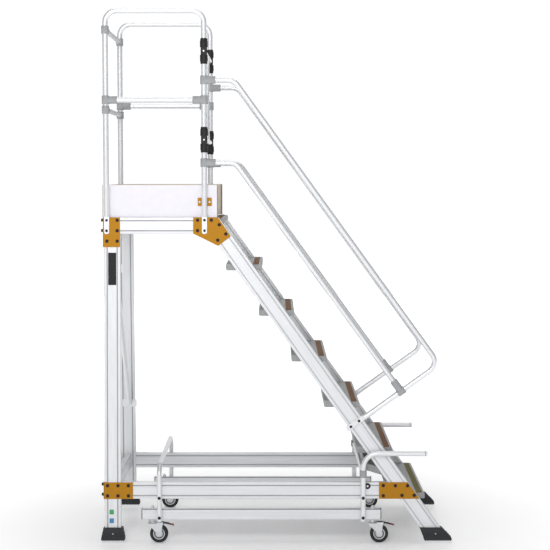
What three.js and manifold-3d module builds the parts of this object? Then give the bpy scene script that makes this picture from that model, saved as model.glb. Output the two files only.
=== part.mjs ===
// Mobile ladder stand: a six-tread aluminium stair up to a guarded platform, on four castors
// that a pair of lever handles lowers for rolling and lifts for standing on the rubber feet.
// Millimetres. +X runs from the platform to the foot of the stair, +Z is up, and the floor
// under the lowered castors is z = 0. "left" is the -Y side, the left hand of a climber.
import * as THREE from 'three';
import { mergeVertices } from 'three/addons/utils/BufferGeometryUtils.js';
import Module from 'manifold-3d';

const wasm = await Module();
wasm.setup();

// ---- driving dimensions ----
const gap = 0.3;                    // clearance between pieces that touch
const rise = 250;                   // from one tread to the next
const run = 178.6;
const treadCount = 6;
const footLift = 20;                // the feet hang this far off the floor
const deckTop = 1775;
const splay = THREE.MathUtils.degToRad(3);
const halfWidthAtDeck = 366.7;      // outer faces of the side frames, at deckTop
const stileDepth = 90;
const stileThick = 30;
const stileWall = 3;
const grooveInset = 17.5;           // grooves along both faces of the stile section
const groove = { mouth: 3.5, floor: 2.5, depth: 1.5 };    // half widths at mouth and floor
const sideBarStock = 700;
const legRear = -939;
const beamBottom = 1690;
const railBottom = 245;
const stairFrontAtFloor = 958.7;    // where the stringer's front edge would meet z = 0
const plateThick = 4;
const boltRadius = 6.5;
const boltHead = 3;
const rearBoltLength = 12;
const rearBoltInset = 22;
const frameBottom = 38;             // where leg and stringer end, inside the feet

const postX = { rear: -923, front: -390 };
const postY = 376;
const tubeRadius = 15;
const tubeSides = 10;
const fittingSides = 12;
const railBend = 65;
const topRailZ = 2895;
const midRailZ = 2416;
const rearRailZ = { upper: 2792, lower: 2363 };
const sleeveRadius = 20.5;
const sleeveLength = 80;
const handrailZ = { upper: 2523, lower: 2077 };
const handrailSlope = 0.7235;       // run per unit of drop
const handrailEnd = { x: 384, z: 624 };
const gateZ = { upper: 2678, lower: 2201 };
const toeTop = 1957;

const pivotZ = 254;
const linkLength = 109.5;
const leverX = 473;
const hoopX = -638;
const linkY = 461.5;
const leverRadius = 14;
const hoopRadius = 13;
const handleZ = 497;
const handleEndX = 823;
const crossTubeZ = 385;
const hoopTopZ = 428;
const pinRadius = 5;
const pinSides = 10;

const carrier = { x0: -738, x1: 574, z0: 129, z1: 188, y: 427, width: 30 };
const castorX = { rear: -679, front: 527 };
const wheelRadius = 50;
const wheelWidth = 30;
const wheelTrail = 36;
const pedalPivot = { x: 40, z: 107 };

// ---- materials ----
const finish = (color, roughness, metalness) =>
  new THREE.MeshStandardMaterial({ color, roughness, metalness });
const aluminium = finish(0xe3e4e8, 0.38, 0.75);
const tubeWhite = finish(0xeeeff2, 0.32, 0.55);
const treadGrip = finish(0x9a9b96, 0.6, 0.7);
const goldPlate = finish(0xc8860f, 0.45, 0.35);
const blackPlastic = finish(0x1f2022, 0.55, 0.0);
const rubber = finish(0x2b2d30, 0.8, 0.0);
const zinc = finish(0xd5d8dc, 0.35, 0.9);
const tyreGrey = finish(0x2a2a2c, 0.7, 0.0);
const whiteBoard = finish(0xf1f1f4, 0.5, 0.1);

// ---- solids ----
function toSolid(geometry) {
  const bare = geometry.clone();
  bare.deleteAttribute('normal');
  bare.deleteAttribute('uv');
  const merged = mergeVertices(bare, 1e-4);
  return new wasm.Manifold(new wasm.Mesh({
    numProp: 3,
    vertProperties: new Float32Array(merged.attributes.position.array),
    triVerts: new Uint32Array(merged.index.array),
  }));
}

function toGeometry(body) {
  const mesh = body.getMesh();
  const geometry = new THREE.BufferGeometry();
  geometry.setAttribute('position', new THREE.BufferAttribute(mesh.vertProperties, 3));
  geometry.setIndex(new THREE.BufferAttribute(mesh.triVerts, 1));
  geometry.computeVertexNormals();
  return geometry;
}

function join(first, ...others) {
  return others.reduce((body, other) => body.add(toSolid(other)), toSolid(first));
}

// An outline in the XZ plane, made thick along Y from yLow to yHigh.
function prism(outline, yLow, yHigh) {
  const shape = new THREE.Shape(outline.map(([x, z]) => new THREE.Vector2(x, z)));
  const depth = yHigh - yLow;
  const body = new THREE.ExtrudeGeometry(shape, { depth, bevelEnabled: false });
  return body.rotateX(Math.PI / 2).translate(0, yHigh, 0);
}

function block(x0, x1, y0, y1, z0, z1) {
  const body = new THREE.BoxGeometry(x1 - x0, y1 - y0, z1 - z0);
  return body.translate((x0 + x1) / 2, (y0 + y1) / 2, (z0 + z1) / 2);
}

// A round bar along X, Y or Z, centred at (x, y, z).
function rod(axis, radius, length, x, y, z, sides = tubeSides) {
  const body = new THREE.CylinderGeometry(radius, radius, length, sides);
  if (axis === 'x') body.rotateZ(Math.PI / 2);
  if (axis === 'z') body.rotateX(Math.PI / 2);
  return body.translate(x, y, z);
}

// A path of straight runs with round bends. It is sampled only where the direction changes,
// so that a straight run costs one ring of faces.
class BentPath extends THREE.Curve {
  constructor(points, bendRadius, bendSteps = 5) {
    super();
    this.places = [points[0]];
    this.headings = [points[1].clone().sub(points[0]).normalize()];
    for (let i = 1; i < points.length - 1; i += 1) {
      const a = points[i].clone().sub(points[i - 1]).normalize();
      const b = points[i + 1].clone().sub(points[i]).normalize();
      const turn = a.angleTo(b);
      const side = b.clone().addScaledVector(a, -a.dot(b)).normalize();
      const start = points[i].clone().addScaledVector(a, -bendRadius * Math.tan(turn / 2));
      for (let k = 0; k <= bendSteps; k += 1) {
        const phi = (turn * k) / bendSteps;
        const along = bendRadius * Math.sin(phi);
        const across = bendRadius * (1 - Math.cos(phi));
        this.places.push(start.clone().addScaledVector(a, along).addScaledVector(side, across));
        this.headings.push(a.clone().multiplyScalar(Math.cos(phi)).addScaledVector(side, Math.sin(phi)));
      }
    }
    this.places.push(points.at(-1));
    this.headings.push(points.at(-1).clone().sub(points.at(-2)).normalize());
  }

  get steps() {
    return this.places.length - 1;
  }

  getPointAt(u) {
    return this.places[Math.round(u * this.steps)].clone();
  }

  getTangentAt(u) {
    return this.headings[Math.round(u * this.steps)].clone();
  }
}

function bentTube(corners, radius, bendRadius, bendSteps) {
  const points = corners.map(([x, y, z]) => new THREE.Vector3(x, y, z));
  const path = new BentPath(points, bendRadius, bendSteps);
  const section = new THREE.Shape();
  for (let i = 0; i < tubeSides; i += 1) {
    const turn = (2 * Math.PI * (i + 0.5)) / tubeSides;
    const place = new THREE.Vector2(radius * Math.cos(turn), radius * Math.sin(turn));
    if (i === 0) section.moveTo(place.x, place.y);
    else section.lineTo(place.x, place.y);
  }
  section.closePath();
  return new THREE.ExtrudeGeometry(section, { steps: path.steps, extrudePath: path });
}

// ---- the leaning side frames ----
// They are laid out upright, outer face at halfWidthAtDeck, and sheared outwards.
function leanOut(geometry, side) {
  const slope = side * Math.tan(splay);
  const shear = new THREE.Matrix4().makeShear(0, 0, 0, 0, 0, -slope);
  return geometry.applyMatrix4(shear).translate(0, slope * deckTop, 0);
}

const outerFace = (z) => halfWidthAtDeck + Math.tan(splay) * (deckTop - z);

// Y range, low first, of a layer between two depths measured inwards from the outer face.
function layer(side, depthA, depthB) {
  const a = side * (halfWidthAtDeck - depthA);
  const b = side * (halfWidthAtDeck - depthB);
  return [Math.min(a, b), Math.max(a, b)];
}

// The grooved hollow stile section, extruded along +X; depth lies along Z, thickness along Y.
function stileBar(length) {
  const d = stileDepth / 2;
  const t = stileThick / 2;
  const grooveAt = d - grooveInset;
  const floor = t - groove.depth;
  const notch = (at, sign) => [
    [at - sign * groove.mouth, sign * t], [at - sign * groove.floor, sign * floor],
    [at + sign * groove.floor, sign * floor], [at + sign * groove.mouth, sign * t],
  ];
  const outline = [
    [-d, t], ...notch(-grooveAt, 1), ...notch(grooveAt, 1), [d, t],
    [d, -t], ...notch(grooveAt, -1), ...notch(-grooveAt, -1), [-d, -t],
  ].reverse();
  const shape = new THREE.Shape(outline.map(([u, v]) => new THREE.Vector2(u, v)));
  const inside = [[-1, -1], [-1, 1], [1, 1], [1, -1]];
  shape.holes.push(new THREE.Path(
    inside.map(([u, v]) => new THREE.Vector2(u * (d - stileWall), v * (t - stileWall)))));
  const bar = new THREE.ExtrudeGeometry(shape, { depth: length, bevelEnabled: false });
  // section u becomes Z, section v becomes Y, and the extrusion becomes X
  return bar.applyMatrix4(new THREE.Matrix4().set(
    0, 0, 1, 0,
    0, -1, 0, 0,
    1, 0, 0, 0,
    0, 0, 0, 1));
}

const stairFront = (z) => stairFrontAtFloor - (run / rise) * z;
const stairAngle = Math.atan2(rise, run);
const stringerWidth = stileDepth / Math.sin(stairAngle);
const stairRear = (z) => stairFront(z) - stringerWidth;
const beamTop = beamBottom + stileDepth;
const railTop = railBottom + stileDepth;
const legFront = legRear + stileDepth;

// Keeps the part of a bar that lies inside an outline, then leans it out to its side.
function trimmed(bar, outline, side) {
  const cut = toSolid(bar).intersect(toSolid(prism(outline, -600, 600)));
  return leanOut(toGeometry(cut), side);
}

function sideBar(length, side) {
  return stileBar(length).translate(0, side * (halfWidthAtDeck - stileThick / 2), 0);
}

function rearLeg(side) {
  const length = beamBottom - gap - frameBottom;
  const bar = stileBar(length).rotateY(-Math.PI / 2);
  const y = side * (halfWidthAtDeck - stileThick / 2);
  return leanOut(bar.translate(legRear + stileDepth / 2, y, frameBottom), side);
}

function platformBeam(side) {
  const bar = sideBar(sideBarStock, side).translate(legRear, 0, (beamBottom + beamTop) / 2);
  const outline = [
    [legRear, beamBottom], [stairRear(beamBottom) - 2 * gap, beamBottom],
    [stairFront(beamTop) - 2 * gap, beamTop], [legRear, beamTop],
  ];
  return trimmed(bar, outline, side);
}

function stringer(side) {
  const middleZ = (beamTop + frameBottom) / 2;
  const middleX = stairFront(middleZ) - stringerWidth / 2;
  const length = 2600;
  const bar = sideBar(length, side).translate(-length / 2, 0, 0).rotateY(stairAngle);
  bar.translate(middleX, 0, middleZ);
  const outline = [
    [stairFront(beamTop), beamTop], [stairRear(beamBottom), beamBottom],
    [stairRear(frameBottom) - 5, frameBottom], [stairFront(frameBottom) + 5, frameBottom],
    [stairFront(beamTop) + 5, beamTop],
  ];
  return trimmed(bar, outline, side);
}

function pivotHoles(body, xs, z, y) {
  return xs.reduce((rest, x) => rest.subtract(
    toSolid(rod('y', pinRadius + 0.5, 40, x, y, z, pinSides))), body);
}

function baseRail(side) {
  const start = legFront + gap;
  const bar = sideBar(1700, side).translate(start, 0, (railBottom + railTop) / 2);
  const outline = [
    [start, railBottom], [stairRear(railBottom) - 2 * gap, railBottom],
    [stairRear(railTop) - 2 * gap, railTop], [start, railTop],
  ];
  const rail = trimmed(bar, outline, side);
  const face = side * outerFace(pivotZ);
  return toGeometry(pivotHoles(toSolid(rail), [leverX, hoopX], pivotZ, face));
}

// ---- gusset plates, with their bolt heads ----
function sidePlate(side, outline, bolts) {
  const [yLow, yHigh] = layer(side, -gap - plateThick, -gap);
  const headY = side * (halfWidthAtDeck + gap + plateThick + boltHead / 2 - 0.2);
  const heads = bolts.map(([x, z]) => rod('y', boltRadius, boltHead, x, headY, z, 8));
  return join(prism(outline, yLow, yHigh), ...heads);
}

// Rear plates wrap round the back of the leg, with two more bolts there.
function wrappedPlate(side, outline, bolts, z0, z1, boltLevels) {
  const [yLow, yHigh] = layer(side, -gap - plateThick, 56);
  const back = legRear - gap;
  const flange = toSolid(block(back - plateThick, back, yLow, yHigh, z0, z1));
  const plate = sidePlate(side, outline, bolts).add(flange);
  const y = side * (halfWidthAtDeck - rearBoltInset);
  const heads = boltLevels.map((z) =>
    rod('x', boltRadius, rearBoltLength, back - plateThick - rearBoltLength / 2 + 0.2, y, z, 8));
  const whole = heads.reduce((body, head) => body.add(toSolid(head)), plate);
  return leanOut(toGeometry(whole), side);
}

const rectangle = (x0, x1, z0, z1) => [[x0, z0], [x1, z0], [x1, z1], [x0, z1]];
const boltGrid = (xs, zs) => xs.flatMap((x) => zs.map((z) => [x, z]));

function rearTopPlate(side) {
  const [z0, z1] = [1619, beamTop];
  const outline = rectangle(legRear - gap - plateThick, legFront - 2, z0, z1);
  const bolts = boltGrid([legRear + 73], [1765, 1708, 1651]);
  return wrappedPlate(side, outline, [...bolts, [legRear + 17, 1651]], z0, z1, [1765, 1708]);
}

function rearBasePlate(side) {
  const outline = rectangle(legRear - gap - plateThick, legFront + 66, railBottom, railTop);
  const bolts = boltGrid([legRear + 17, legRear + 74, legRear + 131], [262, 318]);
  return wrappedPlate(side, outline, bolts, railBottom, railTop, [322, 266]);
}

function frontTopPlate(side) {
  const outline = [
    [-452, beamTop], [-452, 1692], [-316, 1625], [-247, 1677], [stairFront(beamTop) - 4, beamTop],
  ];
  const bolts = [...boltGrid([-428], [1765, 1708]), [-353, 1765], [-310, 1740], [-274, 1690], [-318, 1656]];
  return leanOut(toGeometry(sidePlate(side, outline, bolts)), side);
}

function frontBasePlate(side) {
  const outline = [
    [561, railBottom], [stairFront(railBottom) - 2, railBottom],
    [stairFront(railTop) - 2, railTop], [561, railTop],
  ];
  const bolts = [[584, 318], [650, 317], [717, 317], [584, 262], [686, 264], [753, 264]];
  return leanOut(toGeometry(sidePlate(side, outline, bolts)), side);
}

// ---- rubber feet ----
function foot(side, bottom, top, legOutline) {
  const [z0, z1] = [footLift, footLift + 68];
  const outline = [[bottom[0], z0], [bottom[1], z0], [top[1], z1], [top[0], z1]];
  const [yLow, yHigh] = layer(side, -10, stileThick + 10);
  const [pocketLow, pocketHigh] = layer(side, -gap, stileThick + gap);
  const boot = toSolid(prism(outline, yLow, yHigh));
  return leanOut(toGeometry(boot.subtract(toSolid(prism(legOutline, pocketLow, pocketHigh)))), side);
}

function rearFoot(side) {
  const leg = rectangle(legRear - gap, legFront + gap, frameBottom - gap, 200);
  return foot(side, [legRear - 19, legFront + 21], [legRear - 6, legFront + 9], leg);
}

function frontFoot(side) {
  const low = frameBottom - gap;
  const stile = [
    [stairRear(low) - 0.4, low], [stairFront(low) + 0.4, low],
    [stairFront(200) + 0.4, 200], [stairRear(200) - 0.4, 200],
  ];
  return foot(side, [807, 958], [782, 904], stile);
}

// ---- cross members, deck and treads ----
function crossBar(halfLength, x, z) {
  return stileBar(2 * halfLength).rotateZ(Math.PI / 2).translate(x, -halfLength, z);
}

const insideAt = (z) => outerFace(z) - stileThick - gap - 0.2;

function rearTopBeam() {
  return crossBar(insideAt(beamTop), legRear + stileThick / 2, (beamBottom + beamTop) / 2);
}

function rearBaseBeam() {
  return crossBar(insideAt(railTop), -893, (railBottom + railTop) / 2);
}

// A round brace from high on the left leg to low on the right leg, with bolted end plates.
function rearDiagonalBrace() {
  const x = -881;
  const ends = [[-1, 1500], [1, 643]];
  const corners = ends.map(([side, z]) => [x, side * (outerFace(z) - 20), z]);
  let brace = toSolid(bentTube(corners, 14, 1));
  for (const [side, z] of ends) {
    const [legLow, legHigh] = layer(side, -200, stileThick + gap);
    brace = brace.subtract(toSolid(leanOut(block(x - 40, x + 40, legLow, legHigh, 500, 1700), side)));
    const [yLow, yHigh] = layer(side, stileThick + gap, stileThick + gap + plateThick);
    brace = brace.add(toSolid(leanOut(block(x - 42, x + 42, yLow, yHigh, z - 22, z + 22), side)));
  }
  return toGeometry(brace);
}

// Plank section in XZ: a closed box with rounded corners and ribs along its top.
function plankSection(depth, thick, ribs) {
  const outline = [[8, -thick], [0, 8 - thick], [0, -5], [5, 0]];
  const pitch = (depth - 36) / ribs;
  for (let i = 0; i < ribs; i += 1) {
    const x = 18 + i * pitch;
    outline.push([x, 0], [x + pitch * 0.15, -2.5], [x + pitch * 0.6, -2.5], [x + pitch * 0.75, 0]);
  }
  outline.push([depth - 10, 0], [depth - 3, -3], [depth, -10], [depth, 5 - thick], [depth - 5, -thick]);
  return outline.reverse();
}

function tread(index) {
  const depth = 195;
  const top = deckTop - rise * (index + 1);
  const rear = -274.6 + run * index;
  const half = insideAt(top);
  return prism(plankSection(depth, 35, 7), -half, half).translate(rear, 0, top);
}

function deck() {
  const rear = legRear + stileThick + gap;
  const front = -285;
  const half = insideAt(deckTop);
  const outline = plankSection(front - rear, 32, 16);
  return prism(outline, -half, half).translate(rear, 0, deckTop);
}

// The ribbed plank that ties the stringers together behind the lowest treads.
function frontTiePlank() {
  const tilt = THREE.MathUtils.degToRad(17);
  const half = insideAt(430);
  const plank = prism(plankSection(142, 38, 5), -half, half);
  return plank.rotateY(tilt).translate(487, 0, 435.6);
}

function toeBoard() {
  const outer = 355;
  const thick = 16;
  const z0 = beamTop + gap;
  const rear = -947;
  const front = -319;
  const sides = [-1, 1].map((side) => {
    const [yLow, yHigh] = [outer - thick, outer].map((y) => side * y).sort((a, b) => a - b);
    return block(rear, front, yLow, yHigh, z0, toeTop);
  });
  const back = block(rear, rear + thick, -outer, outer, z0, toeTop);
  return toGeometry(join(back, ...sides));
}

// ---- guardrail, rear rails, handrails ----
// The flat end of a post, bolted over the gusset plate outside the platform beam.
function postTongue(side, x) {
  const [yLow, yHigh] = layer(side, -gap * 2 - plateThick - 7, -gap * 2 - plateThick);
  return leanOut(block(x - 14, x + 14, yLow, yHigh, beamBottom, 1800), side);
}

function guardrail(side) {
  const y = side * postY;
  const bottom = beamTop + 6;
  const hoop = bentTube([
    [postX.front, y, bottom], [postX.front, y, topRailZ],
    [postX.rear, y, topRailZ], [postX.rear, y, bottom],
  ], tubeRadius, railBend, 5);
  const middle = (postX.front + postX.rear) / 2;
  const midRail = rod('x', tubeRadius, postX.front - postX.rear, middle, y, midRailZ);
  const reach = sleeveLength / 2 - 21;
  const sleeves = [[postX.rear, 1], [postX.front, -1]].map(([x, way]) =>
    rod('x', sleeveRadius, sleeveLength, x + way * reach, y, midRailZ, fittingSides));
  const tongues = [postX.rear, postX.front].map((x) => postTongue(side, x));
  return toGeometry(join(hoop, midRail, ...sleeves, ...tongues));
}

const boreForPost = (x, y, z, length) => toSolid(rod('z', tubeRadius + 0.9, length, x, y, z, fittingSides));

function rearRail(z) {
  const tube = rod('y', tubeRadius - 2, 2 * postY, postX.rear, 0, z);
  const fittings = [-1, 1].flatMap((side) => [
    rod('z', sleeveRadius, 43, postX.rear, side * postY, z, fittingSides),
    rod('y', sleeveRadius - 1.5, 56, postX.rear, side * (postY - 28), z, fittingSides),
  ]);
  const bores = [-1, 1].map((side) => boreForPost(postX.rear, side * postY, z, 80));
  const body = bores.reduce((rest, bore) => rest.subtract(bore), join(tube, ...fittings));
  return toGeometry(body);
}

const handrailY = (z) => postY + (handrailZ.upper - z) * 0.0364;
const endSlope = run / rise;        // the end leg runs square to the stringer

function endLegCrossing(x0, z0) {
  const x = (x0 + handrailSlope * (z0 - handrailEnd.z + endSlope * handrailEnd.x))
    / (1 + handrailSlope * endSlope);
  return { x, z: handrailEnd.z + endSlope * (x - handrailEnd.x) };
}

function handrail(side) {
  const at = (x, z) => [x, side * handrailY(z), z];
  const upperLine = { x: 240, z: 1875 };
  const lowerLine = { x: 83.4, z: 1658 };
  const knee = (line, z) => line.x + handrailSlope * (line.z - z);
  const corner = endLegCrossing(upperLine.x, upperLine.z);
  const foot = [handrailEnd.x + 96, handrailEnd.z + 96 * endSlope];
  const start = postX.front + 16;
  const upper = bentTube([
    at(start, handrailZ.upper), at(knee(upperLine, handrailZ.upper), handrailZ.upper),
    at(corner.x, corner.z), at(...foot),
  ], tubeRadius, railBend, 4);
  const meet = endLegCrossing(lowerLine.x, lowerLine.z);
  const lower = bentTube([
    [start, side * postY, handrailZ.lower],
    [knee(lowerLine, handrailZ.lower), side * postY, handrailZ.lower],
    at(meet.x, meet.z),
  ], tubeRadius, railBend, 4);
  const reach = sleeveLength / 2 - 21;
  const sockets = Object.values(handrailZ).map((z) =>
    rod('x', sleeveRadius, sleeveLength, postX.front + reach, side * postY, z, fittingSides));
  const tee = [
    rod('z', sleeveRadius, 70, 0, 0, 0, fittingSides).rotateY(stairAngle).translate(...at(meet.x, meet.z)),
    rod('z', sleeveRadius, 56, 0, 0, 30, fittingSides).rotateY(stairAngle - Math.PI / 2)
      .translate(...at(meet.x, meet.z)),
  ];
  const flat = toSolid(endTongue(side));
  const body = join(upper, lower, ...sockets, ...tee).add(flat);
  const bores = Object.values(handrailZ).map((z) => boreForPost(postX.front, side * postY, z, 60));
  return toGeometry(bores.reduce((rest, bore) => rest.subtract(bore), body));
}

// The flattened end of the handrail lies across the stringer under two bolts.
function endTongue(side) {
  const length = 140;
  const [yLow, yHigh] = layer(side, -gap - 12, -gap);
  const tongue = block(0, length, yLow, yHigh, -13, 13).rotateY(-Math.atan(endSlope));
  return leanOut(tongue.translate(handrailEnd.x, 0, handrailEnd.z), side);
}

// ---- the two-leaf safety gate between the front posts ----
const gateBodyHeight = 138;
const waistHeight = 40;

function gateClamp(side, z) {
  const y = side * postY;
  const [z0, z1] = [z - waistHeight / 2, z + waistHeight / 2];
  const [y0, y1] = [y - side * 50, y + side * 14].sort((a, b) => a - b);
  return toGeometry(toSolid(rod('z', 21, gateBodyHeight, postX.front, y, z, fittingSides))
    .subtract(toSolid(block(postX.front - 30, postX.front + 30, y0, y1, z0, z1)))
    .subtract(toSolid(rod('z', 18.6, waistHeight, postX.front, y, z, fittingSides)))
    .subtract(boreForPost(postX.front, y, z, gateBodyHeight + 4)));
}

// One leaf, drawn about its own post axis: two knuckles and a tube bent through two corners.
function gateLeaf(side) {
  const reach = -side * (postY - 19);
  const half = (gateZ.upper - gateZ.lower) / 2;
  const loop = bentTube([
    [0, -side * 10, half], [0, reach, half], [0, reach, -half], [0, -side * 10, -half],
  ], 12.5, 60, 4);
  const knuckles = [half, -half].map((z) => rod('z', 17.6, waistHeight - 1, 0, 0, z, fittingSides));
  const body = join(loop, ...knuckles);
  const bores = [half, -half].map((z) => boreForPost(0, 0, z, 60));
  return toGeometry(bores.reduce((rest, bore) => rest.subtract(bore), body));
}

// ---- castor lift: lever, rear hoop and carriers, each drawn about its pivot ----
function pivotPins(side, faceDepth) {
  const length = boltHead + 2 * leverRadius + faceDepth;
  const y = side * (linkY + leverRadius + boltHead - length / 2);
  return [0, -linkLength].map((z) => rod('y', pinRadius, length, 0, y, z, pinSides));
}

function castorLever() {
  const pieces = [-1, 1].flatMap((side) => {
    const y = side * linkY;
    const bar = bentTube([
      [0, y, -linkLength - 21], [0, y, handleZ - pivotZ], [handleEndX - leverX, y, handleZ - pivotZ],
    ], leverRadius, 80, 5);
    const sleeve = rod('z', 19.5, 38, 0, y, crossTubeZ - pivotZ, fittingSides);
    return [bar, sleeve, ...pivotPins(side, 26)];
  });
  const cross = rod('y', 13, 2 * linkY, 0, 0, crossTubeZ - pivotZ);
  return toGeometry(join(cross, ...pieces));
}

function rearHoop() {
  const top = hoopTopZ - pivotZ;
  const bottom = -linkLength - 21;
  const hoop = bentTube([
    [0, -linkY, bottom], [0, -linkY, top], [0, linkY, top], [0, linkY, bottom],
  ], hoopRadius, 62, 5);
  return toGeometry(join(hoop, ...pivotPins(-1, 26), ...pivotPins(1, 26)));
}

function castorCarrier(side) {
  const { x0, x1, z0, z1, width } = carrier;
  const y = side * carrier.y;
  const tube = toSolid(block(x0, x1, y - width / 2, y + width / 2, z0, z1));
  const inside = toSolid(block(x0 - 1, x1 + 1, y - width / 2 + 2.5, y + width / 2 - 2.5, z0 + 2.5, z1 - 2.5));
  const races = Object.values(castorX).map((x) => rod('z', 21, 6.2, x, y, z0 - 2.9, fittingSides));
  const box = tube.subtract(inside);
  const whole = races.reduce((body, race) => body.add(toSolid(race)), box);
  return toGeometry(pivotHoles(whole, [leverX, hoopX], pivotZ - linkLength, side * (carrier.y + width / 2)));
}

// ---- one castor, drawn about its swivel axis with the wheel trailing towards +X ----
function castorFork() {
  const crown = rod('z', 20, 13, 0, 0, 116, fittingSides);
  const bridge = block(-16, 24, -20, 20, 106, 113);
  const cheek = [[-18, 113], [46, 113], [48, 44], [27, 41], [-14, 90]];
  const cheeks = [prism(cheek, -20, -16.5), prism(cheek, 16.5, 20)];
  const axle = rod('y', 5, 46, wheelTrail, 0, wheelRadius, pinSides);
  const pedalPin = rod('y', 2, 42, pedalPivot.x, 0, pedalPivot.z, 8);
  return toGeometry(join(crown, bridge, ...cheeks, axle, pedalPin));
}

// Wheel section turned about its axle: bore, hub faces and a rounded tread.
function castorWheel() {
  const half = wheelWidth / 2;
  const section = [
    [5.5, -half], [20, -half], [36, -half + 3], [46, -half + 1], [wheelRadius, -half + 6],
    [wheelRadius, half - 6], [46, half - 1], [36, half - 3], [20, half], [5.5, half], [5.5, -half],
  ];
  const points = section.map(([r, y]) => new THREE.Vector2(r, y));
  return toGeometry(toSolid(new THREE.LatheGeometry(points, 20)));
}

// Drawn about its pin, just above the wheel: a toe plate with the brake pad under it.
function brakePedal() {
  const outline = [
    [-12, -3], [9, -3], [10, -6.5], [24, -6.5], [26, 0], [40, -3], [76, -12], [78, -8],
    [42, 1.5], [15, 6], [-12, 6],
  ];
  const bore = toSolid(rod('y', 2.4, 40, 0, 0, 0, 8));
  return toGeometry(toSolid(prism(outline, -13, 13)).subtract(bore));
}

// ---- assembly ----
const group = new THREE.Group();

function place(parent, name, geometry, material, x = 0, y = 0, z = 0) {
  const mesh = new THREE.Mesh(geometry, material.clone());
  mesh.name = name;
  mesh.position.set(x, y, z);
  parent.add(mesh);
}

for (const [hand, side] of [['left', -1], ['right', 1]]) {
  place(group, `${hand}_rear_leg`, rearLeg(side), aluminium);
  place(group, `${hand}_platform_beam`, platformBeam(side), aluminium);
  place(group, `${hand}_stringer`, stringer(side), aluminium);
  place(group, `${hand}_base_rail`, baseRail(side), aluminium);
  place(group, `${hand}_rear_top_plate`, rearTopPlate(side), goldPlate);
  place(group, `${hand}_rear_base_plate`, rearBasePlate(side), goldPlate);
  place(group, `${hand}_front_top_plate`, frontTopPlate(side), goldPlate);
  place(group, `${hand}_front_base_plate`, frontBasePlate(side), goldPlate);
  place(group, `${hand}_rear_foot`, rearFoot(side), rubber);
  place(group, `${hand}_front_foot`, frontFoot(side), rubber);
  place(group, `${hand}_guardrail`, guardrail(side), tubeWhite);
  place(group, `${hand}_handrail`, handrail(side), tubeWhite);
  place(group, `${hand}_upper_gate_clamp`, gateClamp(side, gateZ.upper), blackPlastic);
  place(group, `${hand}_lower_gate_clamp`, gateClamp(side, gateZ.lower), blackPlastic);
  const leafZ = (gateZ.upper + gateZ.lower) / 2;
  place(group, `${hand}_gate_leaf`, gateLeaf(side), tubeWhite, postX.front, side * postY, leafZ);
  place(group, `${hand}_castor_carrier`, castorCarrier(side), aluminium);
  for (const [end, x] of Object.entries(castorX)) {
    const castor = new THREE.Group();
    castor.position.set(x, side * carrier.y, 0);
    place(castor, `${hand}_${end}_castor_fork`, castorFork(), zinc);
    place(castor, `${hand}_${end}_castor_wheel`, castorWheel(), tyreGrey, wheelTrail, 0, wheelRadius);
    place(castor, `${hand}_${end}_brake_pedal`, brakePedal(), blackPlastic, pedalPivot.x, 0, pedalPivot.z);
    group.add(castor);
  }
}

place(group, 'rear_top_beam', rearTopBeam(), aluminium);
place(group, 'rear_base_beam', rearBaseBeam(), aluminium);
place(group, 'rear_diagonal_brace', rearDiagonalBrace(), aluminium);
place(group, 'front_tie_plank', frontTiePlank(), treadGrip);
place(group, 'platform_deck', deck(), treadGrip);
for (let i = 0; i < treadCount; i += 1) {
  place(group, `tread_${i + 1}`, tread(i), treadGrip);
}
place(group, 'toe_board', toeBoard(), whiteBoard);
place(group, 'rear_upper_rail', rearRail(rearRailZ.upper), tubeWhite);
place(group, 'rear_lower_rail', rearRail(rearRailZ.lower), tubeWhite);
place(group, 'castor_lever', castorLever(), tubeWhite, leverX, 0, pivotZ);
place(group, 'rear_hoop', rearHoop(), tubeWhite, hoopX, 0, pivotZ);

export default group;
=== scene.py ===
import math

import bmesh
import bpy
from mathutils import Matrix, Vector


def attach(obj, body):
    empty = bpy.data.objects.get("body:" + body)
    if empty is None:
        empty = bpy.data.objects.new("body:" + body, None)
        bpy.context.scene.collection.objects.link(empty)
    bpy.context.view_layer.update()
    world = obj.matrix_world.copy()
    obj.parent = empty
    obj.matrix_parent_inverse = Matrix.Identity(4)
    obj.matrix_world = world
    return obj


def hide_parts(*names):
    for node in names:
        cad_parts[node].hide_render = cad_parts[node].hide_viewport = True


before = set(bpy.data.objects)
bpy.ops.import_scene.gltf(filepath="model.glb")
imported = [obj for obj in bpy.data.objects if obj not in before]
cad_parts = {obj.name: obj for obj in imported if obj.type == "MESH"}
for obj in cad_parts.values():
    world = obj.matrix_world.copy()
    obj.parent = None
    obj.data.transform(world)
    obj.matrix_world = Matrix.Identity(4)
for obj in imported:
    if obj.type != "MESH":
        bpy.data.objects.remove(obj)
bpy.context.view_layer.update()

# Lengths below are millimetres in the part's frame: +X down the stair, +Z up.
# side is -1 for the near (left) frame and 1 for the far (right) one.
scale = 0.001
hands = {-1: "left", 1: "right"}
stairs = {"rise": 250, "run": 178.6}


# Materials.
def rgb(code):
    parts = [int(code[i : i + 2], 16) / 255 for i in (1, 3, 5)]
    linear = [c / 12.92 if c <= 0.04045 else ((c + 0.055) / 1.055) ** 2.4 for c in parts]
    return (*linear, 1.0)


def addNode(tree, kind, inputs=None, **settings):
    made = tree.nodes.new(kind)
    for key, value in settings.items():
        setattr(made, key, value)
    for key, value in (inputs or {}).items():
        if isinstance(value, bpy.types.NodeSocket):
            tree.links.new(value, made.inputs[key])
        else:
            made.inputs[key].default_value = value
    return made


def ramp(tree, factor, low, high):
    made = addNode(tree, "ShaderNodeValToRGB", {"Fac": factor})
    for element, position, color in zip(made.color_ramp.elements, (0.3, 0.7), (low, high)):
        element.position = position
        element.color = color
    return made.outputs["Color"]


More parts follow.
